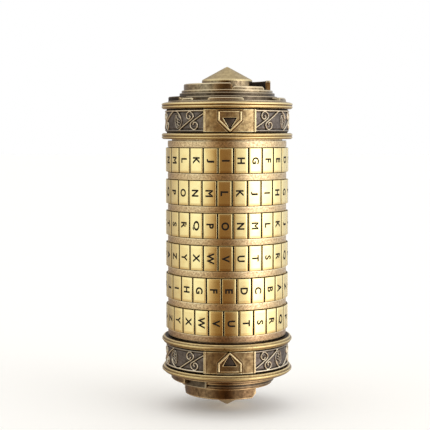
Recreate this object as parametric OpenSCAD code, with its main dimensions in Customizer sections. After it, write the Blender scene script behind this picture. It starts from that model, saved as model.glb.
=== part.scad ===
// A cryptex: a cylindrical word lock. Six letter dials turn on a slotted sleeve that is fixed to the
// base cap. The vault is a tube fixed to the top cap. It slides in the sleeve and carries one tooth
// per dial. The vault pulls out when the notches of all six code rings stand over the teeth.
// Origin: centre of the object, on its axis. +Z points along the axis, towards the vault's cap.
// The pointers face -Y. Angles called azimuth are measured from -Y towards +X.

/* [Overall] */
// Height from the lower tip to the upper tip
total_h = 150; // [149:0.5:153]
// Radius of the two rims on each end cap
rim_r = 28.8; // [28.6:0.1:30]
// Radius of the cap's wall behind the relief band
wall_r = 26.5; // [26.2:0.1:26.6]
// Radius of the cap's inside
cap_bore_r = 24.6; // [24.4:0.1:24.8]

/* [Dials] */
// Letters on each dial
letters = 26; // [24:1:27]
// Radius to the corner between two letter tiles
tile_corner_r = 27.05; // [26.8:0.05:27.2]
// Width of the groove between two tiles
tile_groove_w = 0.7; // [0.5:0.1:0.9]
// Depth of the groove between two tiles
tile_groove_d = 0.45; // [0.3:0.05:0.7]
// Room along the axis for one letter dial
dial_room = 10.83; // [10.6:0.01:10.9]
// Gap above and below each dial
dial_gap = 0.1; // [0.05:0.05:0.2]
// Radius of the joint between a letter ring and its code ring
code_r = 21.5; // [21:0.1:22]
// Angle of each dial off the pointer line at rest, top dial first
dial_turn = [-3.7, -4.9, -4.1, -3.7, -0.7, 1.4];

/* [Spacer rings] */
// Height of one spacer ring
spacer_h = 2.93; // [2.9:0.01:3.1]
// Radius of the spacer rings
spacer_r = 26.15; // [25.8:0.05:26.4]

/* [Vault and lock] */
// Radius of the hollow in the vault tube
vault_in_r = 12.5; // [12:0.1:12.8]
// Wall of the vault tube
vault_wall = 1.5; // [1.2:0.1:1.6]
// Wall of the sleeve
sleeve_wall = 1.92; // [1.8:0.02:2]
// Running gap between the vault and the sleeve, and between the sleeve and the dials
running_gap = 0.08; // [0.06:0.01:0.1]
// Width of a lock tooth
tooth_w = 2.6; // [2.4:0.1:2.8]
// Height of a lock tooth
tooth_h = 3; // [2.6:0.1:3.2]
// Radius to the tip of a lock tooth
tooth_r = 18.4; // [18.2:0.1:18.5]
// Width of the notch in a code ring
notch_w = 6.2; // [6:0.1:6.4]

/* [Marker] */
// Half the angle that a marker plate covers
marker_half_a = 23.8; // [22:0.2:26]
// Width of the pointer shield
shield_w = 10.2; // [9:0.2:11]
// Height of the pointer shield
shield_h = 9.2; // [8:0.2:9.2]

/* [Hidden] */
DIALS = 6;
DIAL_NUMBERS = [1 : DIALS];
$fn = 96;
EPS = 0.01;
FIT = 0.02;                             // gap round a piece that is pressed or soldered in place

// Radii of the parts that turn and slide inside each other
vault_r = vault_in_r + vault_wall;
sleeve_in_r = vault_r + running_gap;
sleeve_r = sleeve_in_r + sleeve_wall;
code_bore_r = sleeve_r + running_gap;
recess_r = tooth_r + 0.6;
spline_r = 0.7;
flange_h = 3;                           // a code ring's flange, which the notch goes through

// Heights, from the middle of the object outwards. The base end mirrors the top end.
dial_h = dial_room - 2 * dial_gap;
code_h = dial_h - 0.2;
recess_h = code_h - flange_h;
stack_half = (DIALS * dial_room + (DIALS + 1) * spacer_h) / 2;
cap_z = stack_half + 0.6;               // inner face of a cap's inner rim
band_z0 = cap_z + 2.65;                 // the relief band starts
band_z1 = band_z0 + 10.45;              // the relief band ends
cap_end_z = band_z1 + 2.85;             // outer face of a cap's outer rim
plug_z = stack_half + 1.65;             // inner face of a plug
plug_h = 3;
plate_in_z = plug_z + 13;               // inner face of an end plate
step_z = [cap_end_z + 2.5, cap_end_z + 4, cap_end_z + 5.2];
step_r = [22, 20.9, 20];                // the end plate's three steps
ledge_z = cap_end_z + 4.4;              // the crown stands on this ledge
floor_z = cap_end_z + 3.2;              // the cone stands on this floor
cone_base_z = cap_end_z + 9.9;
tip_z = total_h / 2;
cone_r = 11.1;
stud_r = 2.5;

// Low arcs on an end plate: [from azimuth, to azimuth, height over the outer rim's face, outer radius]
low_arcs_top = [[-100, -55, 2.4, 25.8], [-51, -36.7, 1.6, 25.8], [-20.8, 13.2, 1.6, 25.8],
                [58, 76, 1.9, 25.8], [79, 104, 1.6, 25.8], [122, 158, 1.6, 25.8],
                [186, 218, 3, 25.8], [226, 244, 1.6, 25.8]];
low_arcs_base = [[-112, -50, 3.1, 24.8], [-62, -25.5, 4.3, 22.7], [112, 148, 1.6, 25.8],
                 [176, 212, 3, 25.8], [226, 244, 1.6, 25.8]];
// The crown's arcs: [from azimuth, to azimuth, height over the outer rim's face]
crown_arcs = [[-90, 4, 8], [4, 54, 6.6], [80, 200, 9.6]];
crown_in_r = 17;
crown_out_r = 19.04;
crown_turn_base = -161;

// Screws that join a plug to its end plate
screw_count = 3;
screw_pitch_r = 20.2;
screw_first_a = 60;
screw_r = 1.1;
screw_head_r = 2.05;
screw_head_h = 0.95;
screw_len = 8.4;
stud_len = 3.5;
boss_r = 2.6;

// The retaining clip and its groove in the sleeve
clip_z = stack_half + 0.1;
clip_h = 0.6;
clip_in_r = 15.35;
clip_out_r = 17.6;
clip_gap_a = 25;
hub_r = 24.3;                           // the end rings' hubs inside the mouths of the caps
sleeve_top_z = stack_half + 1.25;

// The key that stops the spacer rings from turning, opposite the teeth
key_w = 2.9;
key_in_r = 15.3;
keyway_gap = 0.1;

// Bottom face of spacer k (0 is the retaining collar, DIALS is the base collar)
function spacer_z(k) = stack_half - (k + 1) * spacer_h - k * dial_room;
// Bottom face of dial i
function dial_z(i) = stack_half - i * (spacer_h + dial_room) + dial_gap;
// Bottom face of tooth i: it stands in the recess of code ring i, just under the ring's flange
function tooth_z(i) = dial_z(i) + recess_h - tooth_h - 0.6;

// ---------------------------------------------------------------- shapes that repeat

// A ring about the axis
module ring(r_in, r_out, z0, z1) {
    rotate_extrude() translate([r_in, z0]) square([r_out - r_in, z1 - z0]);
}

// Part of a ring, between two azimuths
module arc(r_in, r_out, z0, z1, a0, a1) {
    rotate([0, 0, a0 - 90])
        rotate_extrude(angle = a1 - a0) translate([r_in, z0]) square([r_out - r_in, z1 - z0]);
}

// A block in front of the axis: centred on x, from radius r0 to radius r1
module front_block(w, r0, r1, z0, z1) {
    translate([-w / 2, -r1, z0]) cube([w, r1 - r0, z1 - z0]);
}

// A ring with its outer edges broken
module chamfered_ring(r_in, r_out, z0, z1, c) {
    rotate_extrude()
        polygon([[r_in, z0], [r_out - c, z0], [r_out, z0 + c], [r_out, z1 - c], [r_out - c, z1],
                 [r_in, z1]]);
}

module at_base() {
    mirror([0, 0, 1]) children();
}

module screw_places() {
    for (k = [0 : screw_count - 1])
        rotate([0, 0, screw_first_a + k * 360 / screw_count]) translate([0, -screw_pitch_r, 0])
            children();
}

// ---------------------------------------------------------------- end caps, drawn at the top end

// Band casting: a tube with a rim at each end
module band() {
    c = 0.45;
    color("darkkhaki") rotate_extrude()
        polygon([[cap_bore_r, cap_z], [rim_r - c, cap_z], [rim_r, cap_z + c],
                 [rim_r, band_z0 - c], [rim_r - c, band_z0], [wall_r, band_z0],
                 [wall_r, band_z1], [rim_r - c, band_z1], [rim_r, band_z1 + c],
                 [rim_r, cap_end_z - c], [rim_r - c, cap_end_z], [cap_bore_r, cap_end_z]]);
}

// Relief wrapped round the band, with a raised line along each edge
module relief() {
    thick = 0.5;
    edge_h = 0.6;
    edge_thick = 0.8;
    gap_a = 0.1;
    z0 = band_z0 + 0.05;
    z1 = band_z1 - 0.05;
    a0 = marker_half_a + gap_a;
    color("dimgray") {
        arc(wall_r, wall_r + thick, z0, z1, a0, 360 - a0);
        arc(wall_r, wall_r + edge_thick, z0, z0 + edge_h, a0, 360 - a0);
        arc(wall_r, wall_r + edge_thick, z1 - edge_h, z1, a0, 360 - a0);
    }
}

// Outline of the pointer shield, its tip towards the dials, drawn in by a margin
module shield_outline(margin) {
    w = shield_w / 2 - margin;
    tip = band_z0 + 0.1;
    shoulder = tip + shield_w / 2;
    polygon([[-w, tip + shield_h - margin], [w, tip + shield_h - margin], [w, shoulder],
             [0, tip + 1.41 * margin], [-w, shoulder]]);
}

// A flat outline carried onto the band's front, between two radii
module on_front(r_in, r_out) {
    intersection() {
        rotate([90, 0, 0]) linear_extrude(rim_r) children();
        arc(r_in, r_out, band_z0, band_z1, -marker_half_a, marker_half_a);
    }
}

// Marker plate with the raised pointer and its three-sided hollow
module marker() {
    plate_r = wall_r + 0.85;
    edge_a = 2;
    rim_w = 1.2;
    hollow_w = 5.6;
    hollow_h = 4.3;
    hollow_top = band_z0 + 6.3;
    z0 = band_z0 + 0.05;
    z1 = band_z1 - 0.05;
    color("tan") difference() {
        union() {
            arc(wall_r, plate_r, z0, z1, -marker_half_a, marker_half_a);
            arc(wall_r, plate_r + 0.3, z0, z1, -marker_half_a, -marker_half_a + edge_a);
            arc(wall_r, plate_r + 0.3, z0, z1, marker_half_a - edge_a, marker_half_a);
            on_front(plate_r - 0.2, plate_r + 0.9) shield_outline(0);
        }
        on_front(plate_r + 0.4, rim_r) shield_outline(rim_w);
        on_front(plate_r - 0.3, rim_r)
            polygon([[-hollow_w / 2, hollow_top], [hollow_w / 2, hollow_top],
                     [0, hollow_top - hollow_h]]);
    }
}

// End plate: a stepped disc with low arcs round it, a ledge for the crown and bosses for screws
module end_plate(low_arcs) {
    spigot_r = cap_bore_r - 0.05;
    lip_h = 0.6;
    lip_r = 26;
    low_in_r = 21.7;
    high_in_r = 20.6;
    difference() {
        union() {
            rotate_extrude()
                polygon([[0, plate_in_z], [spigot_r, plate_in_z], [spigot_r, cap_end_z],
                         [lip_r, cap_end_z], [lip_r, cap_end_z + lip_h],
                         [step_r[0], cap_end_z + lip_h], [step_r[0], step_z[0]],
                         [step_r[1], step_z[0]], [step_r[1], step_z[1]], [step_r[2], step_z[1]],
                         [step_r[2], step_z[2]], [crown_out_r + 0.05, step_z[2]],
                         [crown_out_r + 0.05, ledge_z], [crown_in_r - 0.1, ledge_z],
                         [crown_in_r - 0.1, floor_z], [0, floor_z]]);
            for (a = low_arcs)
                arc(a[2] > 2.5 ? high_in_r : low_in_r, a[3], cap_end_z + 0.3, cap_end_z + a[2],
                    a[0], a[1]);
            screw_places()
                translate([0, 0, plug_z + plug_h])
                    cylinder(r = boss_r, h = plate_in_z - plug_z - plug_h + 1);
        }
        translate([0, 0, floor_z - stud_len - 0.3])
            cylinder(r = stud_r + FIT, h = stud_len + 0.3 + EPS);
        screw_places()
            translate([0, 0, plug_z + plug_h - EPS]) cylinder(r = screw_r + FIT, h = 6);
    }
}

// Crown: a low ring whose wall stands up in arcs of different heights
module crown() {
    ring(crown_in_r, crown_out_r, ledge_z, step_z[2]);
    for (a = crown_arcs)
        arc(crown_in_r, crown_out_r, ledge_z + 0.2, cap_end_z + a[2], a[0], a[1]);
}

// Cone with a short cylindrical foot and a stud
module cone() {
    edge = 0.35;
    tip_r = 0.9;
    color("darkkhaki") rotate_extrude()
        polygon([[0, floor_z - stud_len], [stud_r, floor_z - stud_len], [stud_r, floor_z],
                 [cone_r, floor_z], [cone_r, cone_base_z - edge],
                 [cone_r - edge, cone_base_z], [tip_r, tip_z - 0.4], [0, tip_z]]);
}

// Plug: the disc that holds a tube inside a cap
module plug(hole_r) {
    color("goldenrod") difference() {
        ring(hole_r + FIT, cap_bore_r - 0.05, plug_z, plug_z + plug_h);
        screw_places() translate([0, 0, plug_z - EPS]) {
            cylinder(r = screw_r + 0.1, h = plug_h + 2 * EPS);
            cylinder(r1 = screw_head_r + 0.1, r2 = screw_r + 0.1, h = screw_head_h + 0.05);
        }
    }
}

// Countersunk screws with a slot, heads towards the dials
module screws() {
    slot_w = 0.5;
    slot_d = 0.4;
    color("silver") screw_places() translate([0, 0, plug_z]) difference() {
        union() {
            cylinder(r1 = screw_head_r, r2 = screw_r, h = screw_head_h);
            cylinder(r = screw_r, h = screw_len);
        }
        translate([-screw_head_r - 1, -slot_w / 2, -EPS])
            cube([2 * screw_head_r + 2, slot_w, slot_d + EPS]);
    }
}

// ---------------------------------------------------------------- sleeve and spacer rings

// Sleeve: carries the dials and guides the vault. The teeth run in its slot.
module sleeve() {
    slot_w = tooth_w + 0.4;
    slot_z = tooth_z(DIALS) - 0.6;
    color("burlywood") difference() {
        ring(sleeve_in_r, sleeve_r, -plate_in_z, sleeve_top_z);
        front_block(slot_w, sleeve_in_r - 1, sleeve_r + 1, slot_z, sleeve_top_z + 1);
        rotate([0, 0, 180])
            front_block(key_w + keyway_gap, key_in_r - keyway_gap, sleeve_r + 1, -stack_half,
                        sleeve_top_z + 1);
        ring(clip_in_r - 0.05, sleeve_r + 1, clip_z - 0.05, clip_z + clip_h + 0.05);
    }
}

// A spacer ring, keyed to the sleeve
module keyed_ring(k) {
    z0 = spacer_z(k);
    chamfered_ring(sleeve_r + FIT, spacer_r, z0, z0 + spacer_h, 0.2);
    rotate([0, 0, 180]) front_block(key_w, key_in_r, sleeve_r + 0.6, z0, z0 + spacer_h);
}

// A spacer ring that lets the teeth through
module passing_ring(k) {
    color("rosybrown") difference() {
        keyed_ring(k);
        front_block(tooth_w + 0.6, sleeve_r - 1, tooth_r + 0.3, spacer_z(k) - 1,
                    spacer_z(k) + spacer_h + 1);
    }
}

// The lowest ring stands on the base plug
module base_collar() {
    color("rosybrown") {
        keyed_ring(DIALS);
        ring(sleeve_r + FIT, hub_r, -plug_z, spacer_z(DIALS) + 1);
    }
}

// The highest ring centres the top cap's mouth. Its hub leaves room for the clip and the teeth.
module retaining_collar() {
    passing_ring(0);
    color("rosybrown") ring(tooth_r + 0.3, hub_r, stack_half - 1, stack_half + 1.4);
}

// Open clip that holds the retaining collar on the sleeve
module retaining_clip() {
    color("silver")
        arc(clip_in_r, clip_out_r, clip_z, clip_z + clip_h, clip_gap_a, 360 - clip_gap_a);
}

// ---------------------------------------------------------------- dials

// Outer ring with flat letter tiles and a splined bore
module letter_ring(i) {
    step = 360 / letters;
    first = dial_turn[i - 1] - 90;
    color("gold") translate([0, 0, dial_z(i)]) rotate([0, 0, first]) difference() {
        linear_extrude(dial_h)
            polygon([for (k = [0 : letters - 1])
                tile_corner_r * [cos((k + 0.5) * step), sin((k + 0.5) * step)]]);
        translate([0, 0, -1]) cylinder(r = code_r, h = dial_h + 2);
        for (k = [0 : letters - 1]) {
            rotate([0, 0, (k + 0.5) * step])
                translate([tile_corner_r - tile_groove_d, -tile_groove_w / 2, -1])
                    cube([1, tile_groove_w, dial_h + 2]);
            rotate([0, 0, k * step])
                translate([code_r, 0, -1]) cylinder(r = spline_r, h = dial_h + 2, $fn = 24);
        }
    }
}

// Inner ring: its recess lets the tooth turn by, its notch lets the tooth out
module code_ring(i) {
    step = 360 / letters;
    rib_places = [0, 6, 13, 19];
    rib_r = spline_r - 0.08;
    color("peru") translate([0, 0, dial_z(i)]) rotate([0, 0, dial_turn[i - 1]]) difference() {
        union() {
            ring(code_bore_r, code_r - 0.05, 0, code_h);
            for (k = rib_places)
                rotate([0, 0, k * step - 90])
                    translate([code_r - 0.05, 0, 0]) cylinder(r = rib_r, h = code_h, $fn = 24);
        }
        translate([0, 0, -1]) cylinder(r = recess_r, h = recess_h + 1);
        front_block(notch_w, sleeve_r - 1, recess_r, -1, code_h + 1);
    }
}

// ---------------------------------------------------------------- vault

module tooth_places(i) {
    translate([0, 0, tooth_z(i) + tooth_h / 2]) rotate([90, 0, 0]) children();
}

// Vault tube: closed by the top end plate, open towards the base
module vault_tube() {
    color("burlywood") difference() {
        ring(vault_in_r, vault_r, 0.8 - stack_half, plate_in_z);
        for (i = DIAL_NUMBERS)
            tooth_places(i) cylinder(r = 1.1 + FIT, h = vault_r + 1, $fn = 32);
    }
}

// Lock tooth: a block on a peg that sits in the vault tube's wall
module lock_tooth(i) {
    color("silver") tooth_places(i) {
        translate([0, 0, vault_in_r + 0.1])
            cylinder(r = 1.1, h = vault_wall + 0.2, $fn = 32);
        translate([-tooth_w / 2, -tooth_h / 2, vault_r + 0.08])
            cube([tooth_w, tooth_h, tooth_r - vault_r - 0.08]);
    }
}

// ---------------------------------------------------------------- the nodes

sleeve();
at_base() plug(sleeve_r);  // base_plug
base_collar();
retaining_collar();
retaining_clip();
at_base() band();  // base_band
at_base() relief();  // base_relief
at_base() marker();  // base_marker
color("darkolivegreen") at_base() end_plate(low_arcs_base);  // base_end_plate
color("olive") at_base() rotate([0, 0, crown_turn_base]) crown();  // base_crown
at_base() cone();  // base_cone
at_base() screws();  // base_screws
vault_tube();
plug(vault_r);  // vault_plug
band();  // top_band
relief();  // top_relief
marker();  // top_marker
color("darkolivegreen") end_plate(low_arcs_top);  // top_end_plate
color("olive") crown();  // top_crown
cone();  // top_cone
screws();  // top_screws
for (k = [1 : DIALS - 1])
    passing_ring(k);
for (i = DIAL_NUMBERS) {
    letter_ring(i);
    code_ring(i);
    lock_tooth(i);
}
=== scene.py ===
import math

import bmesh
import bpy
import numpy as np
from mathutils import Euler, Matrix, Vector, geometry


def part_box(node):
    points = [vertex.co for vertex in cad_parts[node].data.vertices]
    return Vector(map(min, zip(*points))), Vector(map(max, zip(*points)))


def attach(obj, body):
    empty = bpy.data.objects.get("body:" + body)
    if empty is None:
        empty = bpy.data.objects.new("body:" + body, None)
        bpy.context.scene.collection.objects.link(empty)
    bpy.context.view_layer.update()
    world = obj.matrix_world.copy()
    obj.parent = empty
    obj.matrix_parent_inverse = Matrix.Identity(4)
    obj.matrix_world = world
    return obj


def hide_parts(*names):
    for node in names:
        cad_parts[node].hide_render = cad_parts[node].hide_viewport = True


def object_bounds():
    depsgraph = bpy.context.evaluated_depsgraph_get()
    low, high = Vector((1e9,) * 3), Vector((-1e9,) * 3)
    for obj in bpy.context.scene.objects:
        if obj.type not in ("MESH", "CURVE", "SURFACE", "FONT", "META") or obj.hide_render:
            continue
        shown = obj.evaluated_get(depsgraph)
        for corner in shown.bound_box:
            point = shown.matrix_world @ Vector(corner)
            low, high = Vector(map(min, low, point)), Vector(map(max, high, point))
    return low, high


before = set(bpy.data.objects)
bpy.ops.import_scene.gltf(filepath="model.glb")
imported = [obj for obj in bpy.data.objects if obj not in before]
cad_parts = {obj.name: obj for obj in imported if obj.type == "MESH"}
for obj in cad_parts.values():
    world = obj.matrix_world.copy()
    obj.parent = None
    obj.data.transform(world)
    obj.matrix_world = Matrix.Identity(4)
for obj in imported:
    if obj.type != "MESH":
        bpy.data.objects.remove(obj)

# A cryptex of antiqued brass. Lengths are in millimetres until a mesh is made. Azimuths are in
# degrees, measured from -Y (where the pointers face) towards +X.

cad_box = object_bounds()
MM = 0.001
DIALS = 6
LETTERS = "ABCDEFGHIJKLMNOPQRSTUVWXYZ"
STEP = 360 / len(LETTERS)
# Letter under the pointers and how far its tile stands off their line, top dial first
FRONT = [("I", -3.7), ("L", -4.9), ("O", -4.1), ("V", -3.7), ("E", -0.7), ("U", 1.4)]


def span(node):
    """Lowest and highest z of a CAD node, in millimetres."""
    low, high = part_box(node)
    return low[2] / MM, high[2] / MM


def reach(node):
    """Largest distance of a CAD node's box from the axis, in millimetres."""
    low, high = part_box(node)
    return max(-low[0], high[0], -low[1], high[1]) / MM


# ------------------------------------------------------------------ meshes

def at(r, azimuth, z):
    """Point at a radius, an azimuth and a height."""
    a = math.radians(azimuth)
    return (r * math.sin(a), -r * math.cos(a), z)


def rounded(corners, steps=4):
    """Closed outline whose corners (r, z, radius) are rounded off."""
    points = []
    count = len(corners)
    for i, (r, z, radius) in enumerate(corners):
        here = Vector((r, z))
        if radius <= 0:
            points.append((r, z))
            continue
        before = Vector(corners[i - 1][:2]) - here
        after = Vector(corners[(i + 1) % count][:2]) - here
        cut = min(radius, 0.48 * before.length, 0.48 * after.length)
        p0 = here + before.normalized() * cut
        p2 = here + after.normalized() * cut
        for k in range(steps + 1):
            t = k / steps
            p = p0 * (1 - t) ** 2 + here * 2 * t * (1 - t) + p2 * t ** 2
            points.append((p.x, p.y))
    return points


def supported(outline):
    """Adds points close to the ends of the long sides, so that wear stays near the edges."""
    points = []
    for (r0, z0), (r1, z1) in zip(outline, outline[1:] + outline[:1]):
        points.append((r0, z0))
        length = math.hypot(r1 - r0, z1 - z0)
        near = [d / length for d in (0.12, 0.3) if length > 2.5 * d]
        for t in near + [1 - t for t in reversed(near)]:
            points.append((r0 + (r1 - r0) * t, z0 + (z1 - z0) * t))
    return points


def upside_down(outline):
    """The same outline at the other end of the object."""
    return [(p[0], -p[1], *p[2:]) for p in reversed(outline)]


class Builder:
    """Collects points and faces of one piece before its mesh is made."""

    def __init__(self):
        self.points, self.faces, self.slots = [], [], []

    def add(self, points, faces, slot=0):
        """Faces on points of their own, all in one material slot."""
        base = len(self.points)
        self.points += points
        self.faces += [tuple(base + i for i in f) for f in faces]
        self.slots += [slot] * len(faces)

    def revolve(self, outline, segments=180, slot=None):
        """A full turn of a closed outline of (r, z). slot(r, z) gives the material of a side."""
        outline = supported(outline)
        rows = [(360 * k / segments, outline) for k in range(segments)]
        self.join(rows + rows[:1], slot)

    def sweep(self, outline, a0, a1, top, chamfer, slot):
        """Part of a turn. At both ends the height top falls away over a chamfer."""
        outline = supported(outline)
        cut = math.degrees(chamfer / max(r for r, z in outline))
        count = max(2, round((a1 - a0) / 2))
        inner = [a0 + cut + (a1 - a0 - 2 * cut) * k / count for k in range(count + 1)]
        low = abs(top) - chamfer
        cropped = [(r, math.copysign(min(abs(z), low), z)) for r, z in outline]
        rows = [(a0, cropped), *[(a, outline) for a in inner], (a1, cropped)]
        first = len(self.points)
        self.join(rows, slot)
        n = len(outline)
        self.faces += [tuple(first + i for i in reversed(range(n))),
                       tuple(first + (len(rows) - 1) * n + i for i in range(n))]
        self.slots += [0, 0]

    def join(self, rows, slot):
        """Points of the rows (azimuth, outline) and the faces between each row and the next."""
        n = len(rows[0][1])
        points = [at(r, a, z) for a, outline in rows for r, z in outline]
        faces, slots = [], []
        for k in range(len(rows) - 1):
            for i, (r, z) in enumerate(rows[k][1]):
                j = (i + 1) % n
                faces.append((k * n + i, (k + 1) * n + i, (k + 1) * n + j, k * n + j))
                r1, z1 = rows[k][1][j]
                slots.append(slot((r + r1) / 2, (z + z1) / 2) if slot else 0)
        base = len(self.points)
        self.points += points
        self.faces += [tuple(base + i for i in f) for f in faces]
        self.slots += slots

    def piece(self, name, materials, sharp):
        """Makes the object. Its faces point outwards and its edges are shaded by angle."""
        mesh = bpy.data.meshes.new(name)
        mesh.from_pydata([tuple(c * MM for c in p) for p in self.points], [], self.faces)
        mesh.polygons.foreach_set("material_index", self.slots)
        tidy = bmesh.new()
        tidy.from_mesh(mesh)
        bmesh.ops.remove_doubles(tidy, verts=tidy.verts, dist=1e-7)
        bmesh.ops.dissolve_degenerate(tidy, edges=tidy.edges, dist=1e-7)
        bmesh.ops.recalc_face_normals(tidy, faces=tidy.faces)
        tidy.to_mesh(mesh)
        tidy.free()
        for material in materials:
            mesh.materials.append(material)
        mesh.polygons.foreach_set("use_smooth", [True] * len(mesh.polygons))
        mesh.set_sharp_from_angle(angle=math.radians(sharp))
        obj = bpy.data.objects.new(name, mesh)
        bpy.context.scene.collection.objects.link(obj)
        mark_wear(mesh)
        return obj


EDGE_BEND = 1500             # bend of a surface, per metre, that counts as an edge
SHORTEST = 2e-5              # metres, the least distance that a bend is measured over


def mark_wear(mesh):
    """Stores how far each point stands out of its neighbours: 0 in a hollow, 0.5 on a plane and 1
    on an edge."""
    count = len(mesh.vertices)
    places = np.empty(count * 3)
    mesh.vertices.foreach_get("co", places)
    places = places.reshape(-1, 3)
    normals = np.empty(count * 3)
    mesh.vertices.foreach_get("normal", normals)
    normals = normals.reshape(-1, 3)
    ends = np.empty(len(mesh.edges) * 2, dtype=int)
    mesh.edges.foreach_get("vertices", ends)
    i, j = ends.reshape(-1, 2).T
    gap = places[i] - places[j]
    length = np.maximum(np.linalg.norm(gap, axis=1), SHORTEST)
    bend = np.einsum("ij,ij->i", normals[i] - normals[j], gap) / length ** 2
    total, touched = np.zeros(count), np.zeros(count)
    np.add.at(total, i, bend)
    np.add.at(total, j, bend)
    np.add.at(touched, i, 1)
    np.add.at(touched, j, 1)
    touched = np.maximum(touched, 1)
    wear = 0.5 + 0.5 * np.tanh(total / touched / EDGE_BEND)
    total = np.zeros(count)
    np.add.at(total, i, wear[j])
    np.add.at(total, j, wear[i])
    store_wear(mesh, 0.7 * wear + 0.3 * total / touched)


def store_wear(mesh, wear):
    """Keeps one wear value per point for the materials to read."""
    layer = mesh.attributes.get("wear") or mesh.attributes.new("wear", "FLOAT", "POINT")
    layer.data.foreach_set("value", wear)


def place(obj, body, slot, *nodes):
    """A finished piece rides on a body and stands for CAD nodes."""
    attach(obj, body)
    if nodes:
        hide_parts(*nodes)
    return obj


# ------------------------------------------------------------------ materials

def fill_ramp(ramp, stops):
    """Gives a colour ramp its stops of (position, colour or grey number)."""
    line = ramp.color_ramp.elements
    while len(line) < len(stops):
        line.new(0.5)
    for element, (position, colour) in zip(line, stops):
        element.position = position
        element.color = (*colour, 1) if isinstance(colour, tuple) else (colour,) * 3 + (1,)


class Nodes:
    """Short calls for building one material's node tree."""

    def __init__(self, name):
        self.material = bpy.data.materials.new(name)
        self.material.use_nodes = True
        self.tree = self.material.node_tree
        self.shader = self.tree.nodes["Principled BSDF"]

    def node(self, kind, **sockets):
        """A new node with these inputs."""
        made = self.tree.nodes.new(kind)
        for key, value in sockets.items():
            self.put(made.inputs[key.replace("_", " ")], value)
        return made

    def put(self, socket, value):
        """Links the value to the socket, or sets it there if it is a constant."""
        if isinstance(value, bpy.types.NodeSocket):
            self.tree.links.new(value, socket)
        else:
            socket.default_value = value

    def math(self, operation, a, b=0.0, clamp=False):
        """Result of one sum on values or constants."""
        made = self.tree.nodes.new("ShaderNodeMath")
        made.operation = operation
        made.use_clamp = clamp
        self.put(made.inputs[0], a)
        self.put(made.inputs[1], b)
        return made.outputs[0]

    def weighted(self, a, a_part, b, b_part):
        """Sum of two values, each times its part."""
        return self.math("ADD", self.math("MULTIPLY", a, a_part), self.math("MULTIPLY", b, b_part))

    def place(self):
        """Object coordinates, in metres."""
        return self.tree.nodes.new("ShaderNodeTexCoord").outputs["Object"]

    def wrapped(self, radius, stretch=(1, 1, 1)):
        """Coordinates along the girth, along the axis and outwards, in metres, stretched."""
        x, y, z = self.node("ShaderNodeSeparateXYZ", Vector=self.place()).outputs
        azimuth = self.math("ARCTAN2", x, self.math("MULTIPLY", y, -1.0))
        girth = self.math("MULTIPLY", azimuth, radius * MM)
        out = self.math("SQRT", self.weighted(x, x, y, y))
        joined = self.node("ShaderNodeCombineXYZ", X=girth, Y=z, Z=out)
        mapping = self.node("ShaderNodeMapping", Vector=joined.outputs[0], Scale=stretch)
        return mapping.outputs[0]

    def noise(self, where, size, detail=4.0, rough=0.55):
        """Noise from 0 to 1, with features of about that size in millimetres."""
        made = self.node("ShaderNodeTexNoise", Vector=where, Scale=1 / (size * MM), Detail=detail,
                         Roughness=rough)
        return made.outputs["Fac"]

    def ramp(self, value, *stops):
        """Colour or grey ramp of (position, colour or number)."""
        made = self.node("ShaderNodeValToRGB", Fac=value)
        fill_ramp(made, stops)
        return made.outputs["Color"]

    def mix(self, factor, a, b):
        """Colour a where the factor is 0, colour b where it is 1."""
        made = self.tree.nodes.new("ShaderNodeMix")
        made.data_type = "RGBA"
        self.put(made.inputs["Factor"], factor)
        for socket, value in ((made.inputs[6], a), (made.inputs[7], b)):
            self.put(socket, (*value, 1) if isinstance(value, tuple) else value)
        return made.outputs[2]

    def wear(self):
        """The wear value that mark_wear or store_wear left on the mesh."""
        made = self.tree.nodes.new("ShaderNodeAttribute")
        made.attribute_name = "wear"
        return made.outputs["Fac"]

    def bump(self, height, strength, depth):
        """Relief of the surface. The depth is in millimetres."""
        made = self.node("ShaderNodeBump", Height=height, Strength=strength, Distance=depth * MM)
        self.tree.links.new(made.outputs[0], self.shader.inputs["Normal"])

    def finish(self, colour, roughness, metallic=1.0):
        """Sets the shader's main inputs and returns the material."""
        self.put(self.shader.inputs["Base Color"], colour)
        self.put(self.shader.inputs["Roughness"], roughness)
        self.put(self.shader.inputs["Metallic"], metallic)
        return self.material


def antique(name, clean, rubbed, dirt, radius, blotch, grain, rough, dirty, pits, streak=(1, 1, 1)):
    """Cast or turned metal: clean metal, rubbed bright on edges, dark patina in hollows and
    blotches. blotch and grain are sizes in millimetres on a surface of that radius, rough is the
    lowest and highest roughness, dirty the patina's share in the blotches and pits the strength
    of the bumps. streak stretches the grain."""
    n = Nodes(name)
    blotches = n.noise(n.wrapped(radius), blotch, 5.0, 0.6)
    fine = n.noise(n.wrapped(radius, streak), grain, 3.0, 0.6)
    cloudy = n.ramp(n.weighted(blotches, 0.72, fine, 0.28), (0.36, 1.0), (0.66, 0.0))
    colour = n.mix(n.math("MULTIPLY", cloudy, dirty), clean, dirt)
    worn = n.math("ADD", n.wear(), n.math("MULTIPLY", n.math("SUBTRACT", fine, 0.5), 0.16))
    colour = n.mix(n.ramp(worn, (0.56, 0.0), (0.74, 1.0)), colour, rubbed)
    colour = n.mix(n.ramp(worn, (0.28, 1.0), (0.46, 0.0)), colour, dirt)
    low, high = rough
    level = n.math("MULTIPLY", n.weighted(fine, 0.5, cloudy, 0.5), high - low)
    n.bump(n.weighted(fine, 0.6, blotches, 0.4), pits, 0.05)
    return n.finish(colour, n.math("ADD", level, low, clamp=True))


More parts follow.
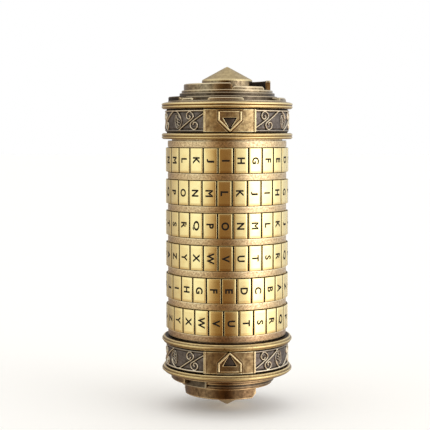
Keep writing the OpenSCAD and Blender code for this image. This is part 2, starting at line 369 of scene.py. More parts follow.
def tile_brass():
    """Polished tile faces, with very fine brushing along the axis and a few soft stains."""
    n = Nodes("tile_brass")
    brushed = n.noise(n.wrapped(27, (1, 0.06, 1)), 0.12, 3.0, 0.6)
    clouds = n.noise(n.wrapped(27), 4.0, 4.0, 0.55)
    colour = n.mix(n.ramp(clouds, (0.42, 0.0), (0.68, 0.5)), (0.93, 0.78, 0.40), (0.84, 0.63, 0.28))
    level = n.math("ADD", n.weighted(brushed, 0.10, clouds, 0.10), 0.10)
    n.bump(brushed, 0.12, 0.02)
    return n.finish(colour, level)


def ink():
    """Black enamel in the letters, and the same black on the walls and floors of the grooves
    between tiles.
    """
    n = Nodes("black_enamel")
    grain = n.noise(n.place(), 0.3)
    colour = n.ramp(grain, (0.3, (0.004, 0.003, 0.003)), (0.75, (0.018, 0.012, 0.007)))
    n.put(n.shader.inputs["Specular IOR Level"], 0.2)
    return n.finish(colour, n.math("ADD", n.math("MULTIPLY", grain, 0.3), 0.5), 0.0)


def plain_metal(name, colour, dark, rough, streak):
    """Machined inner parts: turned or drawn metal with fine lines."""
    n = Nodes(name)
    lines = n.noise(n.wrapped(16, streak), 0.2, 3.0, 0.6)
    stains = n.noise(n.place(), 4.0, 4.0, 0.6)
    shade = n.mix(n.ramp(stains, (0.4, 0.0), (0.75, 0.6)), colour, dark)
    n.bump(lines, 0.2, 0.02)
    return n.finish(shade, n.math("ADD", n.math("MULTIPLY", lines, 0.25), rough))


# Each antique finish: its clean, rubbed and dirty colours, then how it is worked
TURNED = {"blotch": 1.3, "grain": 0.3, "pits": 0.45, "streak": (0.5, 1.6, 1)}
PLAIN = {"radius": 27.3, "blotch": 1.7, "grain": 0.3, "rough": (0.24, 0.48), "dirty": 0.9,
         "pits": 0.7}
DARK_CAST = {"radius": 20.0, "blotch": 1.8, "grain": 0.3, "dirty": 0.85, "pits": 0.4}
BRUSHED = {"radius": 26.2, "blotch": 0.9, "grain": 0.22, "rough": (0.22, 0.42), "dirty": 0.85,
           "pits": 0.7, "streak": (0.4, 1.3, 1)}

BRASS_TILE = tile_brass()
ENAMEL = ink()
RIM = antique("cap_brass", (0.56, 0.39, 0.16), (0.82, 0.67, 0.35), (0.16, 0.08, 0.025),
              radius=28.8, rough=(0.2, 0.4), dirty=0.95, **TURNED)
# Painted shade: a darker brown for the shoulders of the base's rims, which the top's rims do not
# get
SHOULDER_SHADE = antique("brown_brass_painted_shade", (0.33, 0.22, 0.09), (0.80, 0.64, 0.34), (0.09, 0.045, 0.018),
                   radius=28.4, rough=(0.22, 0.42), dirty=0.9, **TURNED)
PLATE = {"top": antique("marker_brass", (0.66, 0.49, 0.25), (0.94, 0.80, 0.48),
                        (0.15, 0.085, 0.04), **PLAIN),
         # The base's copy is darker: painted shade on the lower end
         "base": antique("marker_brass_painted_shade", (0.40, 0.29, 0.15), (0.94, 0.80, 0.50),
                         (0.12, 0.07, 0.035), **PLAIN)}
PEWTER = antique("relief_pewter", (0.185, 0.155, 0.14), (0.66, 0.58, 0.45), (0.022, 0.018, 0.014),
                 radius=27.0, blotch=2.0, grain=0.3, rough=(0.30, 0.52), dirty=0.6, pits=0.8)
CROWN = {"top": antique("crown_bronze", (0.36, 0.275, 0.17), (0.66, 0.55, 0.37),
                        (0.045, 0.03, 0.018), rough=(0.12, 0.32), **DARK_CAST),
         # The base's copy is darker and browner: painted shade on the lower end
         "base": antique("crown_bronze_painted_shade", (0.27, 0.175, 0.095), (0.58, 0.44, 0.26),
                         (0.04, 0.022, 0.012), rough=(0.14, 0.34), **DARK_CAST)}
# Painted shade: dark bronze for the end plates' steps under the crowns and for one low arc of the
# base
STEP_SHADE = antique("step_bronze_painted_shade", (0.12, 0.092, 0.064), (0.40, 0.33, 0.23), (0.028, 0.02, 0.014),
                radius=21.5, blotch=1.8, grain=0.3, rough=(0.2, 0.42), dirty=0.8, pits=0.5)
# Painted shade: near-black for the bore, the sunk strips beside the rims, the moat and inside of
# the crowns, and one low arc seen in shadow
PAINTED_SHADE = antique("black_painted_shade", (0.055, 0.042, 0.032), (0.15, 0.115, 0.07), (0.016, 0.012, 0.009),
                 radius=20.0, blotch=2.0, grain=0.4, rough=(0.45, 0.7), dirty=0.6, pits=0.5)
CONE = antique("cone_brass", (0.52, 0.41, 0.21), (0.76, 0.64, 0.38), (0.20, 0.14, 0.07),
               radius=8.0, blotch=1.6, grain=0.3, rough=(0.32, 0.5), dirty=0.6, pits=0.5)
BRONZE = antique("spacer_bronze", (0.93, 0.72, 0.43), (0.98, 0.86, 0.58), (0.22, 0.13, 0.065),
                 **BRUSHED)
# Painted shade: a darker copy of the spacer bronze for the base's ring
BRONZE_SHADED = antique("spacer_bronze_painted_shade", (0.60, 0.42, 0.25), (0.90, 0.74, 0.48),
                      (0.15, 0.08, 0.04), **BRUSHED)
TUBE = plain_metal("inner_brass", (0.72, 0.56, 0.28), (0.42, 0.30, 0.14), 0.22, (1, 0.2, 1))
CODE = plain_metal("code_brass", (0.66, 0.50, 0.24), (0.36, 0.25, 0.11), 0.26, (0.2, 1, 1))
STEEL = plain_metal("plain_steel", (0.62, 0.61, 0.58), (0.32, 0.31, 0.29), 0.24, (1, 1, 1))


# ------------------------------------------------------------------ letter dials

TILE_FACE_R = 26.95          # radius to the middle of a tile face
TILE_CURVE = 31.0            # radius that a tile face is bent to
TILE_GROOVE = 0.74           # groove between two tiles
TILE_DEPTH = 0.6             # depth of the grooves
TILE_BREAK = 0.12            # width of the broken edge round a tile
TILE_MARGIN = 0.12           # between a tile and the ends of its dial
CODE_R = 21.5                # radius of the joint between a dial's two rings
LETTER_SIZE = 4.0            # size of the type before it is fitted
LETTER_BOLD = 0.15           # how much the strokes are thickened
CAP_HEIGHT = 3.3
LETTER_DEPTH = 0.12


def letter_loops(letter):
    """Outline loops of a capital, centred on the origin, in millimetres."""
    curve = bpy.data.curves.new("glyph", "FONT")
    curve.body = letter
    curve.size = LETTER_SIZE
    curve.offset = LETTER_BOLD
    curve.resolution_u = 5
    curve.fill_mode = "FRONT"
    holder = bpy.data.objects.new("glyph", curve)
    bpy.context.scene.collection.objects.link(holder)
    bpy.context.view_layer.update()
    mesh = bpy.data.meshes.new_from_object(holder)
    filled = bmesh.new()
    filled.from_mesh(mesh)
    bmesh.ops.remove_doubles(filled, verts=filled.verts, dist=1e-4)
    loops, done = [], set()
    for first in filled.verts:
        loop, here = [], first
        while here is not None and here not in done:
            done.add(here)
            loop.append(Vector(here.co[:2]))
            border = [e.other_vert(here) for e in here.link_edges if len(e.link_faces) == 1]
            here = next((v for v in border if v not in done), None)
        if len(loop) > 2:
            loops.append(loop)
    filled.free()
    bpy.data.objects.remove(holder)
    bpy.data.curves.remove(curve)
    bpy.data.meshes.remove(mesh)
    xs = [p.x for loop in loops for p in loop]
    ys = [p.y for loop in loops for p in loop]
    middle = Vector(((min(xs) + max(xs)) / 2, (min(ys) + max(ys)) / 2))
    tall = CAP_HEIGHT / (max(ys) - min(ys))
    # The Q's height includes its tail, so the Q is drawn wider to look as large as the others
    tailed = min(ys) < -0.7
    wide = 1.3 if tailed else 1.06
    return [[Vector(((p.x - middle.x) * wide, (p.y - middle.y) * tall)) for p in loop]
            for loop in loops]


def inside(point, loops):
    """True if the point is in the ink of the letter."""
    crossings = 0
    for loop in loops:
        for a, b in zip(loop, loop[1:] + loop[:1]):
            if (a.y > point.y) != (b.y > point.y):
                if point.x < a.x + (point.y - a.y) * (b.x - a.x) / (b.y - a.y):
                    crossings += 1
    return crossings % 2 == 1


def tile_border(width, height, z):
    """Points round a tile at one level, bent to the face's curve."""
    w, h = width / 2, height / 2
    across = [w * (k / 5 - 1) for k in range(11)]
    flat = [(x, -h) for x in across] + [(x, h) for x in reversed(across)]
    return [(x, y, z - x * x / (2 * TILE_CURVE)) for x, y in flat]


def tile_shape(letter, width, height):
    """One tile: x along the girth, y along the axis, z outwards. Slot 1 is black enamel."""
    # The letter's top points along +x, as if the dial lay on its side
    loops = [[Vector((p.y, -p.x)) for p in loop] for loop in letter_loops(letter)]
    face_w, face_h = width - 2 * TILE_BREAK, height - 2 * TILE_BREAK
    border = [Vector(p[:2]) for p in tile_border(face_w, face_h, 0)]
    spots, edges = [], []
    for loop in [border, *loops]:
        base = len(spots)
        spots += loop
        edges += [(base + k, base + (k + 1) % len(loop)) for k in range(len(loop))]
    spots += [Vector((face_w * (i / 10 - 0.5), face_h * (j / 9 - 0.5)))
              for i in range(1, 10) for j in range(1, 9)]
    flat, _, faces, *_ = geometry.delaunay_2d_cdt(spots, edges, [], 1, 1e-5)
    build = Builder()
    low = len(flat)
    for sink in (0, LETTER_DEPTH):
        build.points += [(p.x, p.y, -sink - p.x * p.x / (2 * TILE_CURVE)) for p in flat]
    sides = set()
    for face in faces:
        centre = sum((flat[i] for i in face), Vector((0, 0))) / len(face)
        inked = inside(centre, loops)
        build.faces.append(tuple(low * inked + i for i in face))
        build.slots.append(int(inked))
        if inked:
            sides |= set(zip(face, face[1:] + face[:1]))
    for a, b in sorted(sides):
        if (b, a) not in sides:
            build.faces.append((b, a, low + a, low + b))
            build.slots.append(1)
    levels = [(face_w, face_h, 0), (width - 0.06, height - 0.06, -0.05),
              (width, height, -TILE_BREAK), (width, height, -TILE_DEPTH - 0.2)]
    rings = [tile_border(*level) for level in levels]
    count = len(rings[0])
    for slot, (upper, lower) in enumerate(zip(rings, rings[1:])):
        faces = [(k, count + k, count + (k + 1) % count, (k + 1) % count) for k in range(count)]
        build.add(upper + lower, faces, slot // 2)
    build.add(rings[-1], [tuple(reversed(range(count)))], 1)
    return build


def letter_dial(index):
    """A dial's outer ring with its tiles. The letters run backwards round the girth, seen from
    above."""
    node = f"letter_ring_{index}"
    z0, z1 = span(node)
    front, turn = FRONT[index - 1]
    middle = (z0 + z1) / 2
    build = Builder()
    body_r = TILE_FACE_R - TILE_DEPTH
    corner_r = body_r / math.cos(math.radians(STEP / 2))
    azimuths = [turn + (k + 0.5) * STEP for k in range(len(LETTERS))]
    outline = [(CODE_R, z0), (corner_r, z0), (corner_r, z1), (CODE_R, z1)]
    points = [at(r, a, z) for a in azimuths for r, z in outline]
    faces = []
    for k in range(len(azimuths)):
        here, there = 4 * k, (k + 1) % len(azimuths) * 4
        faces += [(here + i, there + i, there + (i + 1) % 4, here + (i + 1) % 4) for i in range(4)]
    build.add(points, faces, 2)
    build.slots = [1 if k % 4 == 1 else 2 for k in range(len(faces))]
    for k in range(len(LETTERS)):
        letter = LETTERS[(LETTERS.index(front) - k) % len(LETTERS)]
        shape = TILES[letter]
        azimuth = math.radians(turn + k * STEP)
        out = Vector((math.sin(azimuth), -math.cos(azimuth), 0))
        along = Vector((math.cos(azimuth), math.sin(azimuth), 0))
        base = len(build.points)
        for x, y, z in shape.points:
            p = out * (TILE_FACE_R + z) + along * x
            build.points.append((p.x, p.y, middle + y))
        build.faces += [tuple(base + i for i in f) for f in shape.faces]
        build.slots += shape.slots
    obj = build.piece(f"letter_dial_{index}", [BRASS_TILE, ENAMEL, CODE], sharp=35)
    return place(obj, f"dial_{index}", "tile_brass", node)


tile_w = 2 * TILE_FACE_R * math.tan(math.radians(STEP / 2)) - TILE_GROOVE
tile_low, tile_high = span("letter_ring_1")
tile_h = tile_high - tile_low - 2 * TILE_MARGIN
TILES = {letter: tile_shape(letter, tile_w, tile_h) for letter in LETTERS}
for number in range(1, DIALS + 1):
    letter_dial(number)


# ------------------------------------------------------------------ narrow rings

SLEEVE_BORE = 16.02          # bore of a ring that is keyed to the sleeve
MOUTH_BORE = 18.75           # bore of the top ring's hub
HUB_R = 24.3                 # outer radius of a hub


def narrow_ring(name, node, z0, z1, hub=None, material=BRONZE):
    """Spacer ring, its face very slightly crowned between two broken edges. The hub of an end
    ring is given by its lowest and highest z and its bore."""
    r = reach(node)
    z0, z1 = z0 + 0.05, z1 - 0.05
    rise = (z1 - z0) / 4
    build = Builder()
    if hub:
        low, high, hub_bore = hub
        build.revolve([(hub_bore, low), (HUB_R - 0.2, low), (HUB_R, low + 0.2), (HUB_R, high - 0.2),
                       (HUB_R - 0.2, high), (hub_bore, high)])
    outline = [(SLEEVE_BORE, z0, 0), (r - 0.09, z0, 0.2), (r - 0.02, z0 + rise, 0.4),
               (r - 0.02, z1 - rise, 0.4), (r - 0.09, z1, 0.2), (SLEEVE_BORE, z1, 0)]
    build.revolve(rounded(outline), 240)
    return place(build.piece(name, [material], sharp=50), "base", "spacer_bronze", node)


for number in range(1, DIALS):
    narrow_ring(f"narrow_ring_{number}", f"spacer_{number}", *span(f"spacer_{number}"))
ring_h = span("spacer_1")[1] - span("spacer_1")[0]
low, high = span("retaining_collar")
narrow_ring("narrow_ring_top", "retaining_collar", low, low + ring_h,
            (low + ring_h - 1, high, MOUTH_BORE))
# The base's ring takes the darker bronze copy: painted shade
low, high = span("base_collar")
narrow_ring("narrow_ring_base", "base_collar", high - ring_h, high,
            (low, high - ring_h + 1, SLEEVE_BORE), BRONZE_SHADED)


# ------------------------------------------------------------------ relief on the bands

def wrapped_sheet(name, a0, a1, z0, z1, back_r, base_r, height, step, materials, turned,
                  proud=None):
    """A curved plate with a sculpted front. height(u, v) gives the rise over base_r and the
    material slot of each point. u runs along the girth from azimuth 0, v along the axis from the
    plate's middle. A turned plate stands on its head, as on a cap that points down. With proud,
    wear follows the rise: fully rubbed at that height."""
    columns = max(8, round(math.radians(a1 - a0) * base_r / step))
    rows = max(4, round((z1 - z0) / step))
    azimuths = np.linspace(a0, a1, columns + 1)
    heights = np.linspace(z0, z1, rows + 1)
    sense = -1 if turned else 1
    middle = (a0 + a1) / 2
    u, v = np.meshgrid(np.radians(middle + sense * (azimuths - middle)) * base_r,
                       sense * (heights - (z0 + z1) / 2), indexing="ij")
    rise, slots = height(u, v)
    rise[[0, -1], :] = np.minimum(rise[[0, -1], :], 0.05)
    r = base_r + rise
    a = np.radians(azimuths)[:, None]
    zz = np.broadcast_to(heights[None, :], r.shape)
    front = np.stack([r * np.sin(a), -r * np.cos(a), zz], -1).reshape(-1, 3)
    lip = zz[:, [0, -1]]
    back = np.stack([back_r * np.sin(a) + 0 * lip, -back_r * np.cos(a) + 0 * lip, lip], -1)
    back = back.reshape(-1, 3)
    n = rows + 1
    count = len(front)
    k = np.arange(columns * rows)
    corner = (k // rows) * n + k % rows
    quads = np.stack([corner, corner + n, corner + n + 1, corner + 1], -1)
    # The back is flat along the axis, with two points per column
    hidden = []
    for i in range(columns):
        near, far = count + 2 * i, count + 2 * i + 2
        hidden += [(near, near + 1, far + 1, far), ((i + 1) * n, i * n, near, far),
                   (i * n + rows, (i + 1) * n + rows, far + 1, near + 1)]
    last, last_back = columns * n, count + 2 * columns
    hidden += [(*range(n), count + 1, count),
               (*range(last + rows, last - 1, -1), last_back, last_back + 1)]
    build = Builder()
    build.points = [tuple(p) for p in np.concatenate([front, back]).tolist()]
    build.faces = [*map(tuple, quads.tolist()), *hidden]
    build.slots = [0] * len(build.faces)
    build.slots[:len(quads)] = slots[:-1, :-1].reshape(-1).tolist()
    obj = build.piece(name, materials, sharp=60)
    if proud:
        places = np.empty(len(obj.data.vertices) * 3)
        obj.data.vertices.foreach_get("co", places)
        rise = np.hypot(places[0::3], places[1::3]) / MM - base_r
        store_wear(obj.data, 0.5 + 0.5 * np.clip(rise / proud, -1, 1))
    return obj


def smooth_step(x, low, high):
    """0 below low, 1 above high and a soft rise between them."""
    t = np.clip((x - low) / (high - low), 0, 1)
    return t * t * (3 - 2 * t)


def spline(points, per_span=10):
    """Catmull-Rom curve through the points."""
    points = [np.array(p, float) for p in points]
    ends = [2 * points[0] - points[1], *points, 2 * points[-1] - points[-2]]
    made = []
    for p0, p1, p2, p3 in zip(ends, ends[1:], ends[2:], ends[3:]):
        for k in range(per_span):
            t = k / per_span
            made.append(0.5 * (2 * p1 + (p2 - p0) * t + (2 * p0 - 5 * p1 + 4 * p2 - p3) * t * t
                               + (3 * p1 - p0 - 3 * p2 + p3) * t ** 3))
    made.append(points[-1])
    return np.array(made)


def distance_to(u, v, line):
    """Distance from each point to a polyline."""
    best = np.full(u.shape, 1e9)
    for (x0, y0), (x1, y1) in zip(line, line[1:]):
        dx, dy = x1 - x0, y1 - y0
        t = np.clip(((u - x0) * dx + (v - y0) * dy) / max(dx * dx + dy * dy, 1e-12), 0, 1)
        best = np.minimum(best, np.hypot(u - x0 - t * dx, v - y0 - t * dy))
    return best


# One scroll: a tail along a diagonal that curls over into a spiral. Its twin is turned half round.
SCROLL = [(-7.4, -4.0), (-4.6, -2.3), (-1.6, -0.4), (0.3, 0.9), (0.75, 2.0), (0.1, 3.2),
          (-1.2, 3.75), (-2.4, 3.1), (-2.75, 1.8), (-2.1, 0.8), (-1.1, 0.8), (-0.75, 1.6),
          (-1.25, 2.1)]
TWIN = [(-x, -y) for x, y in SCROLL[:12]]
# The twin's tail goes on over an arch, and a leaf hangs under it
ARCH = [(7.0, 3.7), (8.6, 4.2), (10.4, 3.9), (12.2, 2.6), (13.3, 1.0)]
LEAF = [(9.6, 2.2), (9.2, 0.2), (9.7, -2.0), (11.0, -3.4), (12.7, -2.3), (13.6, -0.3), (12.6, 1.2),
        (11.0, 2.4), (9.6, 2.2)]
RUNGS = [[(10.1, 1.2 - 1.25 * k), (12.3 - 0.1 * k, 0.1 - 1.1 * k)] for k in range(3)]
VEIN = [(10.0, 2.0), (10.9, 0.0), (11.3, -2.8)]
WALL_R = 26.5                # outer radius of the band casting between its rims
RELIEF_R = 26.92             # ground of the relief
PLATE_R = 27.3               # face of the pointer plate
HALF_BAND = 5.1              # half the height of the relief and of the plate
# The gap is sunk and painted black as shade
GAP = 0.48                   # dark gap between them and the rims
FULL_RUB = 0.55              # rise at which the relief is rubbed bright
WIRE = (0.3, 0.44)           # half width and height of the bold lines
FINE_WIRE = (0.2, 0.24)      # and of the others
GROOVE_DEPTH = 0.24
FIRST_SCROLL = 36.0          # azimuth of the first crossing
SCROLL_COUNT = 8
BOLD_LINES = 3               # the first of scroll_lines: both scrolls and the arch
FINE_GRID, QUICK_GRID = 0.14, 0.3


def scroll_lines(centre):
    """The curves of one repeat, moved along the girth."""
    shapes = [spline(SCROLL), spline(TWIN), spline(ARCH), spline(LEAF), spline(VEIN, 4),
              *[np.array(r) for r in RUNGS]]
    return [s + np.array([centre, 0.0]) for s in shapes]


def scroll_height(u, v):
    """Raised wires with a groove on each side. A line runs along the edge away from the dials."""
    rise = 0.03 * np.sin(u * 2.3 + v * 1.7) * np.sin(v * 2.9 - u * 0.9)
    pitch = math.radians((360 - 2 * FIRST_SCROLL) / (SCROLL_COUNT - 1)) * RELIEF_R
    start = math.radians(FIRST_SCROLL) * RELIEF_R
    for k in range(SCROLL_COUNT):
        centre = start + k * pitch
        near = (u > centre - 9) & (u < centre + 15)
        uu, vv = u[near], v[near]
        if not uu.size:
            continue
        wire, groove = np.zeros(uu.shape), np.zeros(uu.shape)
        for i, line in enumerate(scroll_lines(centre)):
            half, tall = WIRE if i < BOLD_LINES else FINE_WIRE
            d = distance_to(uu, vv, line)
            wire = np.maximum(wire, tall * np.sqrt(np.clip(1 - (d / half) ** 2, 0, 1)))
            dip = np.clip(1 - np.abs(d - half - 0.18) / 0.24, 0, 1)
            groove = np.maximum(groove, GROOVE_DEPTH * dip)
        rise[near] = np.where(wire > 0, wire, rise[near] - groove)
    edge = HALF_BAND - np.abs(v)
    tall = np.where(v > 0, 0.42, 0.12)
    border = tall * np.sqrt(np.clip(1 - ((edge - 0.88) / 0.38) ** 2, 0, 1))
    ditch = GROOVE_DEPTH * np.clip(1 - np.abs(edge - 1.5) / 0.3, 0, 1) + 0.36 * (edge < GAP)
    rise = np.maximum(rise - ditch, np.where(border > 0, border, -1))
    # Slot 1 is painted shade: the strip next to the rims is black
    return rise, np.where(edge < GAP, 1, 0)


MARKER_HALF = 23.8           # azimuth of the pointer plate's end
SHIELD_W, SHIELD_H = 10.2, 9.2
SHIELD_TIP = -5.1            # place of the shield's tip along the axis, from the plate's middle


def convex_distance(u, v, corners):
    """Signed distance to a convex outline given anticlockwise, negative inside."""
    best = np.full(u.shape, -1e9)
    for (x0, y0), (x1, y1) in zip(corners, corners[1:] + corners[:1]):
        dx, dy = x1 - x0, y1 - y0
        length = math.hypot(dx, dy)
        best = np.maximum(best, ((u - x0) * dy - (v - y0) * dx) / length)
    return best


def marker_height(u, v):
    """Plain plate with a lip at each side, the pointer shield and its dark three-sided hollow. The
    shield's rim fades out on the side away from the dials."""
    half_u = math.radians(MARKER_HALF) * PLATE_R
    rise = 0.04 * np.sin(u * 1.3 + 1) * np.sin(v * 1.1 + 2)
    rise = rise + 0.34 * smooth_step(np.abs(u), half_u - 0.95, half_u - 0.75)
    w = SHIELD_W / 2
    tail = SHIELD_TIP + SHIELD_H
    point = [(-w, SHIELD_TIP + w), (0, SHIELD_TIP), (w, SHIELD_TIP + w)]
    d = convex_distance(u, v, [*point, (w, tail), (-w, tail)])
    beyond = 9
    sides = convex_distance(u, v, [*point, (w, beyond), (-w, beyond)])
    rise = rise + 0.36 * smooth_step(-d, 0.0, 0.25)
    rim = smooth_step(-sides, 0.0, 0.3) * (1 - smooth_step(-sides, 0.75, 1.1))
    rise = rise + 0.55 * rim * smooth_step(-v, -tail, -tail + 0.6)
    rise = rise + 0.1 * smooth_step(-d, 0.0, 0.3) * (1 - smooth_step(-d, 0.6, 0.9))
    rise = rise - 0.12 * np.clip(1 - np.abs(d - 0.25) / 0.3, 0, 1)
    h = convex_distance(u, v, [(0, -3.85), (3.0, 1.2), (-3.0, 1.2)])
    # Beside the rims the plate sinks and slot 1 paints it black as shade
    beside = HALF_BAND - np.abs(v) < GAP
    rise = np.where(beside, rise - 0.6, rise - 0.9 * smooth_step(-h, 0.0, 0.22))
    return rise, np.where(h < -0.05, 2, np.where(beside, 1, 0))


def band_pieces(prefix, body):
    """Band casting with its two rims, relief and marker plate of one cap."""
    turned = prefix == "base"
    z0, z1 = sorted(abs(z) for z in span(f"{prefix}_band"))
    low, high = sorted(abs(z) for z in span(f"{prefix}_relief"))
    r = reach(f"{prefix}_band")
    bore = 24.6

    def rim(z_in, z_out, round_in, round_out):
        """The top cap's rims are two beads with a groove between them, the base's one bead."""
        m = (z_in + z_out) / 2
        beads = [(r - 0.2, z_in + 0.4, 0.4), (r, z_in + 0.75, 0.3), (r, m - 0.42, 0.14),
                 (r - 0.3, m - 0.1, 0.12), (r - 0.3, m + 0.1, 0.12), (r, m + 0.42, 0.14),
                 (r, z_out - 0.75, 0.3), (r - 0.2, z_out - 0.4, 0.4)]
        if turned:
            beads = [(r - 0.35, m - 0.62, 0.2), (r - 0.3, m - 0.46, 0.1), (r, m - 0.3, 0.12),
                     (r, m + 0.3, 0.12), (r - 0.3, m + 0.46, 0.1), (r - 0.35, m + 0.62, 0.2)]
        return [(r - round_in, z_in, 0.4), *beads, (r - round_out, z_out, 0.4)]

    def finish(radius, z):
        """Painted shade: black in the bore and beside the relief, and darker brown on the shoulders
        of the base's rims.
        """
        if radius < WALL_R + 0.1:
            return 1
        return 2 if turned and radius < r - 0.2 else 0

    outline = [(bore, z0, 0), *rim(z0, low - 0.05, 0.7, 0.7), (WALL_R, low - 0.05, 0),
               (WALL_R, high + 0.05, 0), *rim(high + 0.05, z1, 0.7, 1.3), (bore, z1, 0)]
    outline = rounded(outline)
    build = Builder()
    build.revolve(upside_down(outline) if turned else outline, 240, finish)
    place(build.piece(f"{prefix}_rims", [RIM, PAINTED_SHADE, SHOULDER_SHADE], sharp=50), body, "cap_brass",
          f"{prefix}_band")
    step = FINE_GRID
    z_low, z_high = span(f"{prefix}_relief")
    sheet = wrapped_sheet(f"{prefix}_scrollwork", MARKER_HALF + 0.1, 360 - MARKER_HALF - 0.1,
                          z_low, z_high, WALL_R, RELIEF_R, scroll_height, step, [PEWTER, PAINTED_SHADE],
                          turned, FULL_RUB)
    place(sheet, body, "relief_pewter", f"{prefix}_relief")
    plate = wrapped_sheet(f"{prefix}_pointer_plate", -MARKER_HALF, MARKER_HALF, z_low, z_high,
                          WALL_R, PLATE_R, marker_height, 0.8 * step,
                          [PLATE[prefix], PAINTED_SHADE, PEWTER], turned)
    place(plate, body, "cap_brass", f"{prefix}_marker")


band_pieces("top", "vault")
band_pieces("base", "base")


# ------------------------------------------------------------------ end plates, crowns and cones

# Low arcs: from azimuth, to azimuth, height over the band's end, inner and outer radius, slot
# Slot 1 paints an arc black and slot 2 gives it the dark step colour, both painted shade
LOW_ARCS = {
    "top": [(-100, -55, 2.4, 21.7, 25.8, 1), (-51, -36.7, 1.6, 21.7, 25.8, 0),
            (-20.8, 13.2, 1.6, 21.7, 25.8, 0), (58, 76, 1.9, 21.7, 25.8, 0),
            (79, 104, 1.6, 21.7, 25.8, 0), (122, 158, 1.6, 21.7, 25.8, 0),
            (186, 218, 3, 20.6, 25.8, 0), (226, 244, 1.6, 21.7, 25.8, 0)],
    "base": [(-112, -50, 3.1, 20.6, 24.8, 0), (-62, -25.5, 4.3, 20.6, 22.7, 2),
             (112, 148, 1.6, 21.7, 25.8, 0), (176, 212, 3, 20.6, 25.8, 0),
             (226, 244, 1.6, 21.7, 25.8, 0)],
}
# Arcs of the crown: from azimuth, to azimuth, height over the band's end
CROWN_ARCS = [(-90, 4, 8), (4, 54, 6.6), (80, 200, 9.6)]
CROWN_TURN = {"top": 0, "base": -161}
CROWN_BEVEL = {"top": 0.8, "base": 2.0}
CROWN_IN = 17.0              # inner radius of the crown's wall
WIDE_STEP = 21.5             # only the widest step goes past this radius
TOP_STEP = 20.1              # only the steps under the top one go past this radius
# Heights over the band's end
MOAT = 3.2                   # floor round the cone's foot
CROWN_FOOT = 4.4             # underside of the crown
PLATE_TOP = 5.2              # top step of the end plate
CONE_BASE = 9.9              # edge of the cone


def end_pieces(prefix, body):
    """Stepped end plate with its low arcs, the crown and the cone of one cap."""
    turned = prefix == "base"
    sense = -1 if turned else 1
    end = max(abs(z) for z in span(f"{prefix}_band"))
    bottom = min(abs(z) for z in span(f"{prefix}_end_plate"))
    tip = max(abs(z) for z in span(f"{prefix}_cone"))
    crown_r = reach(f"{prefix}_crown")

    def faced(outline):
        """The outline on this cap's side."""
        return upside_down(outline) if turned else outline

    def black(r, z):
        """Painted shade: faces inside the crown's inner radius are black."""
        return int(r < CROWN_IN)

    def steps(r, z):
        """Painted shade: the moat is black and the steps are darker than the crown, but for the
        widest one of the base.
        """
        if r < CROWN_IN:
            return 1
        return 2 if r > TOP_STEP and not (turned and r > WIDE_STEP) else 0

    build = Builder()
    top = end + PLATE_TOP
    crown_seat = crown_r + 0.05
    plate = [(0, bottom + 1.5, 0), (24.55, bottom + 1.5, 0), (24.55, end, 0), (26, end, 0.1),
             (26, end + 0.6, 0.2), (22, end + 0.6, 0.1), (22, end + 1.6, 0), (22, end + 2.5, 0.3),
             (21.35, end + 2.5, 0.1), (21.2, end + 2.2, 0.1), (20.9, end + 2.6, 0.1),
             (20.9, end + 4, 0.3), (20.35, end + 4, 0.1), (20.2, end + 3.75, 0.1),
             (20, end + 4.1, 0.1), (20, top, 0.3), (crown_seat, top, 0.1),
             (crown_seat, end + CROWN_FOOT, 0), (CROWN_IN - 0.1, end + CROWN_FOOT, 0),
             (CROWN_IN - 0.1, end + MOAT, 0), (0, end + MOAT, 0)]
    build.revolve(faced(rounded(plate, 3)), 200, steps)
    for a0, a1, high, inner, outer, slot in LOW_ARCS[prefix]:
        top = end + high
        block = [(inner, end + 0.3), (outer, end + 0.3), (outer, top - 0.25), (outer - 0.25, top),
                 (inner, top)]
        build.sweep(faced(block), a0, a1, sense * top, 0.5, lambda r, z, slot=slot: slot)
    obj = build.piece(f"{prefix}_end_steps", [CROWN[prefix], PAINTED_SHADE, STEP_SHADE], sharp=38)
    place(obj, body, "crown_bronze", f"{prefix}_end_plate")

    build = Builder()
    foot = end + CROWN_FOOT
    ring = [(CROWN_IN, foot), (crown_r, foot), (crown_r, end + PLATE_TOP),
            (CROWN_IN, end + PLATE_TOP)]
    build.revolve(faced(ring), 180, black)
    turn = CROWN_TURN[prefix]
    for a0, a1, high in CROWN_ARCS:
        top = end + high
        wall = [(CROWN_IN, foot + 0.2), (crown_r, foot + 0.2), (crown_r, top - 0.3),
                (crown_r - 0.3, top), (CROWN_IN + 0.2, top), (CROWN_IN, top - 0.2)]
        # Painted shade: the inner faces of the crown's wall are black
        build.sweep(faced(wall), a0 + turn, a1 + turn, sense * top, CROWN_BEVEL[prefix],
                    lambda r, z: int(r < CROWN_IN + 0.15))
    obj = build.piece(f"{prefix}_crown_wall", [CROWN[prefix], PAINTED_SHADE], sharp=38)
    place(obj, body, "crown_bronze", f"{prefix}_crown")

    build = Builder()
    base_z = end + CONE_BASE
    r = reach(f"{prefix}_cone")
    cone = [(0, end - 0.3, 0), (2.5, end - 0.3, 0), (2.5, end + MOAT, 0), (r, end + MOAT, 0),
            (r, base_z - 0.5, 0.2), (r - 0.2, base_z, 0.3), (0.95, tip - 0.4, 0.5), (0, tip, 0)]
    build.revolve(faced(rounded(cone)), 160, lambda r, z: int(abs(z) < base_z - 0.7))
    obj = build.piece(f"{prefix}_spire", [CONE, CROWN[prefix]], sharp=30)
    place(obj, body, "cap_brass", f"{prefix}_cone")


end_pieces("top", "vault")
end_pieces("base", "base")


# ------------------------------------------------------------------ inner parts as in the CAD

